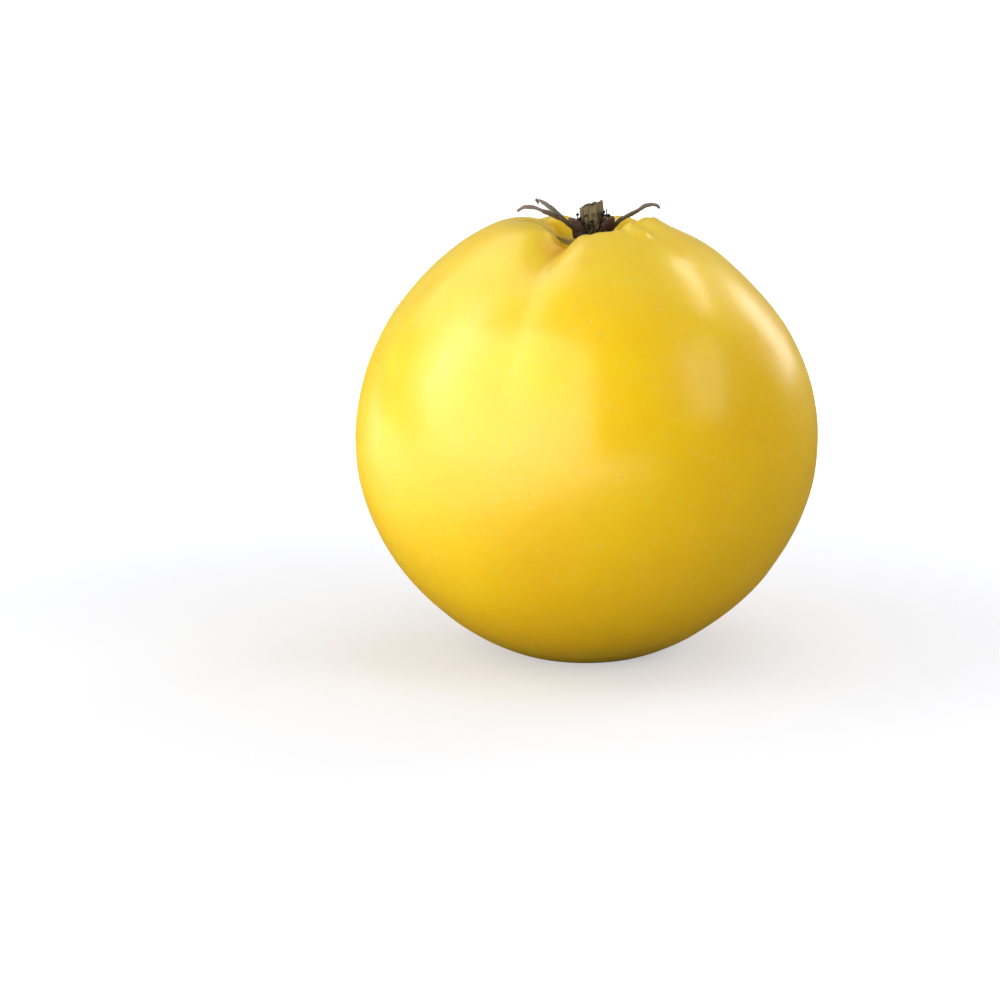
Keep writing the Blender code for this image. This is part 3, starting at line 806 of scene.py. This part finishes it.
def tuftMaterial(name, dark, light, grey, viewColour):
    material, build, principled = newMaterial(name, {"IOR": 1.4, "Specular IOR Level": 0.2}, viewColour)
    place = build.place()
    tint = build.attribute("tint")
    tall = build.add("ShaderNodeMapping", {"Vector": place, "Scale": (1.0, 1.0, 0.22)})
    fibre = build.noise(tall, 2400.0, detail=5.0, rough=0.7)
    worn = build.group(patches, {"Vector": place, "Scale": 500.0, "Low": 0.38, "High": 0.64})
    colour = build.mix(build.remap(build.math("ADD", fibre, tint), 0.45, 1.35), dark, light)
    colour = build.cover(colour, worn, 0.35, grey)
    links = material.node_tree.links
    links.new(colour, principled.inputs["Base Color"])
    links.new(build.remap(fibre, 0.3, 0.7, 0.78, 0.95), principled.inputs["Roughness"])
    links.new(build.bump(fibre, 0.8, 0.15 * mm), principled.inputs["Normal"])
    return material


makeTuft(
    tuftMaterial(
        "driedStyle",
        dark=(0.035, 0.018, 0.006, 1.0),
        light=(0.22, 0.175, 0.085, 1.0),
        grey=(0.20, 0.16, 0.11, 1.0),
        viewColour=(0.17, 0.13, 0.065),
    ),
    tuftMaterial(
        "driedAnther",
        dark=(0.012, 0.007, 0.006, 1.0),
        light=(0.050, 0.028, 0.020, 1.0),
        grey=(0.07, 0.05, 0.04, 1.0),
        viewColour=(0.03, 0.02, 0.015),
    ),
)
print("stamens done")


# the stub of the stalk, up in its hollow underneath

stalk = {
    "radius": 1.5 * mm,
    "rootRadius": 2.2 * mm,
    "endHeight": 1.0 * mm,
    "bend": 0.5 * mm,
    "swelling": (0.90, 0.99, 1.0, 0.98, 1.0, 1.06, 1.18),  # shares of the radius, from the end up
    "ridges": (9, 0.09 * mm, 900.0),  # count round, height, slant
    "barkLumps": (0.10 * mm, 0.7 * mm),  # height, size
    "endLumps": (0.14 * mm, 0.45 * mm),
    "steps": 26,
    "sides": 72,
}


def makeStalk(material):
    root = fruit["waist"] - fruit["lowerHalf"] + fruit["stalkHollow"][0] - calyx["clearance"]
    end = stalk["endHeight"]
    length = root - end
    radii = (*stalk["swelling"], stalk["rootRadius"] / stalk["radius"])
    profile = [(0.0, end + 0.25 * mm)]
    profile += [(stalk["radius"] * share, end + 0.1 * mm) for share in (0.3, 0.6, 0.82)]
    for step in range(stalk["steps"] + 1):
        share = step / stalk["steps"]
        profile.append((stalk["radius"] * blendList(radii, share), end + length * share))
    profile.append((0.0, root))
    bm = spinProfile(profile, stalk["sides"])
    ridges, ridgeHeight, slant = stalk["ridges"]
    barkHeight, barkSize = stalk["barkLumps"]
    endHeight, endSize = stalk["endLumps"]
    for vert in bm.verts:
        azimuth = math.atan2(vert.co.x, -vert.co.y)
        out = Vector((vert.co.x, vert.co.y, 0.0))
        rim = easeStep(0.8 * stalk["radius"], stalk["radius"], out.length)
        share = (root - vert.co.z) / length
        bark = ridgeHeight * math.cos(ridges * azimuth + slant * vert.co.z)
        bark += barkHeight * clumps(vert.co, barkSize)
        if out.length > 1e-9 and vert.co.z < root - 0.05 * mm:
            vert.co += out.normalized() * bark * rim
            vert.co.z += endHeight * (1.0 - rim) * clumps(vert.co, endSize, 4.0)
        vert.co.x += stalk["bend"] * share * share
    piece = keepPiece("stalkStub", bm, [material])
    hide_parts("stalk")


def stalkMaterial():
    material, build, principled = newMaterial("stalkBark", {"IOR": 1.45}, (0.16, 0.09, 0.045))
    place = build.place()
    tall = build.add("ShaderNodeMapping", {"Vector": place, "Scale": (1.0, 1.0, 0.25)})
    bark = build.noise(tall, 1500.0, detail=5.0, rough=0.65)
    worn = build.group(patches, {"Vector": place, "Scale": 380.0, "Low": 0.40, "High": 0.62})
    dots = build.group(speckles, {"Vector": place, "Scale": 1600.0, "Size": 0.25, "Share": 0.35})
    colour = build.mix(build.remap(bark, 0.35, 0.65), (0.075, 0.036, 0.018, 1.0), (0.23, 0.135, 0.070, 1.0))
    colour = build.cover(colour, worn, 0.4, (0.26, 0.23, 0.13, 1.0))
    colour = build.cover(colour, dots, 0.5, (0.38, 0.30, 0.20, 1.0))
    links = material.node_tree.links
    links.new(colour, principled.inputs["Base Color"])
    links.new(build.remap(worn, 0.0, 1.0, 0.70, 0.88), principled.inputs["Roughness"])
    links.new(build.bump(bark, 0.7, 0.2 * mm), principled.inputs["Normal"])
    return material


makeStalk(stalkMaterial())
print("stalk done")


# camera, lights and floor

studio = {
    "elevation": 12.0,
    "distance": 0.9,
    "lens": 165.6,
    "centre": (585.0, 435.0),  # where the middle of the fruit lies in a 1000 pixel frame
    "pixelsPerMetre": 5110.0,
    "floorHalf": 6.0,
    "world": (0.09, 0.42),  # strength of its dim and of its bright side
    "worldSide": (-0.6, 0.3, -0.6),  # where it is bright, seen from the camera (right, up, towards it)
    "worldSpan": (-0.2, 0.8),
}

target = Vector((0.0, 0.0, fruit["waist"]))
tilt = math.radians(studio["elevation"])
toCamera = Vector((0.0, -math.cos(tilt), math.sin(tilt)))
viewUp = Vector((0.0, math.sin(tilt), math.cos(tilt)))
viewRight = Vector((1.0, 0.0, 0.0))


def makeCamera():
    data = bpy.data.cameras.new("camera")
    data.lens = studio["lens"]
    data.sensor_width = 36.0
    data.clip_start = 0.01
    data.clip_end = 50.0
    camera = bpy.data.objects.new("camera", data)
    camera.location = target + toCamera * studio["distance"]
    aimRight = (500.0 - studio["centre"][0]) / studio["pixelsPerMetre"]
    aimUp = (studio["centre"][1] - 500.0) / studio["pixelsPerMetre"]
    aim = target + viewRight * aimRight + viewUp * aimUp
    camera.rotation_euler = (aim - camera.location).to_track_quat("-Z", "Y").to_euler()
    bpy.context.scene.collection.objects.link(camera)
    bpy.context.scene.camera = camera


# name, direction and long axis seen from the camera (right, up, towards it),
# distance, width, length, watts, whether it lights diffusely and whether it is mirrored
softLights = (
    ("keyBox", (-0.84, 0.50, 0.22), (0, 1, 0), 1.0, 0.66, 0.90, 2.5, True, False),
    ("keyGlow", (-0.84, 0.50, 0.22), (0, 1, 0), 1.0, 0.60, 0.80, 12.5, False, True),
    ("frontPanel", (-0.60, 0.00, 0.80), (0, 1, 0), 1.2, 1.6, 0.45, 7.6, True, False),
    ("leftWall", (-0.62, 0.20, 0.75), (0, 1, 0), 1.3, 2.0, 1.7, 39.5, False, True),
    ("upperGlow", (-0.46, 0.84, -0.19), (0, 0, 1), 1.0, 0.84, 0.90, 5.2, False, True),
    ("topStreak", (0.56, 0.80, -0.22), (0.27, -0.08, 0.39), 0.8, 0.11, 0.48, 1.5, False, True),
    ("rearPanel", (0.70, 0.44, -0.60), (0, 1, 0), 0.9, 0.30, 0.44, 2.1, True, True),
    ("rightGlow", (0.81, 0.36, 0.45), (0, 1, 0), 1.0, 0.45, 0.60, 1.6, True, True),
    ("overhead", (0.24, 1.0, 0.18), (0, 0, 1), 1.2, 1.0, 1.0, 4.9, True, False),
    ("rightFill", (0.80, 0.38, 0.46), (0, 1, 0), 1.2, 1.0, 0.5, 2.2, True, False),
)


def fromView(right, up, near):
    return viewRight * right + viewUp * up + toCamera * near


def makeLights():
    for name, direction, longAxis, distance, width, length, watts, diffuse, mirrored in softLights:
        data = bpy.data.lights.new(name, "AREA")
        data.shape = "RECTANGLE"
        data.size = width
        data.size_y = length
        data.energy = watts
        light = bpy.data.objects.new(name, data)
        away = fromView(*direction).normalized()
        across = fromView(*longAxis).cross(away).normalized()
        light.location = target + away * distance
        light.rotation_euler = Matrix((across, away.cross(across), away)).transposed().to_euler()
        light.visible_diffuse = diffuse
        light.visible_glossy = mirrored
        bpy.context.scene.collection.objects.link(light)


def makeWorld():
    world = bpy.data.worlds.new("studio")
    world.use_nodes = True
    background = world.node_tree.nodes["Background"]
    background.inputs["Color"].default_value = (1.0, 1.0, 1.0, 1.0)
    build = Shader(world.node_tree)
    facing = build.add("ShaderNodeTexCoord", output="Generated")
    share = build.dot(facing, fromView(*studio["worldSide"]).normalized())
    strength = build.remap(share, *studio["worldSpan"], *studio["world"])
    world.node_tree.links.new(strength, background.inputs["Strength"])
    bpy.context.scene.world = world


def makeFloor():
    material, build, principled = newMaterial(
        "paleFloor",
        {"Roughness": 0.9, "Emission Strength": 1.0, "Specular IOR Level": 0.1},
        (0.9, 0.9, 0.9),
    )
    seen = build.add("ShaderNodeLightPath", output="Is Camera Ray")
    mirrored = build.add("ShaderNodeLightPath", output="Is Glossy Ray")
    # pale grey to the eye, darker and warmer where the skin mirrors it
    base = build.mix(mirrored, (0.54, 0.55, 0.58, 1.0), (0.30, 0.24, 0.10, 1.0))
    # a painted glow, seen only by the camera, lifts the floor to white; it is weakest round the fruit, a
    # painted shadow pool under it
    place = build.place()
    away = build.add("ShaderNodeVectorMath", {0: place}, output="Value", operation="LENGTH")
    near = build.mix(build.remap(away, 0.05, 0.32), (0.46, 0.46, 0.47, 1.0), (0.9, 0.9, 0.9, 1.0))
    # the floor glows on its front left where the camera does not see it: a painted bounce that lights the
    # skin, and a brighter painted reflection that the skin mirrors
    glowPatch = build.remap(build.dot(place, (-0.75, -0.55, 0.0)), 0.03, 0.16)
    paintedBounce = build.mix(glowPatch, (0.0, 0.0, 0.0, 1.0), (1.5, 1.5, 1.5, 1.0))
    paintedReflection = build.mix(glowPatch, (0.0, 0.0, 0.0, 1.0), (2.8, 2.8, 2.8, 1.0))
    unseen = build.mix(mirrored, paintedBounce, paintedReflection)
    links = material.node_tree.links
    links.new(base, principled.inputs["Base Color"])
    links.new(build.mix(seen, unseen, near), principled.inputs["Emission Color"])
    bm = bmesh.new()
    bmesh.ops.create_grid(bm, x_segments=8, y_segments=8, size=studio["floorHalf"])
    mesh = bpy.data.meshes.new("floor")
    bm.to_mesh(mesh)
    bm.free()
    mesh.materials.append(material)
    floor = bpy.data.objects.new("floor", mesh)
    bpy.context.scene.collection.objects.link(floor)


makeCamera()
makeLights()
makeWorld()
makeFloor()
bpy.context.scene.view_settings.view_transform = "Standard"
print("studio done")
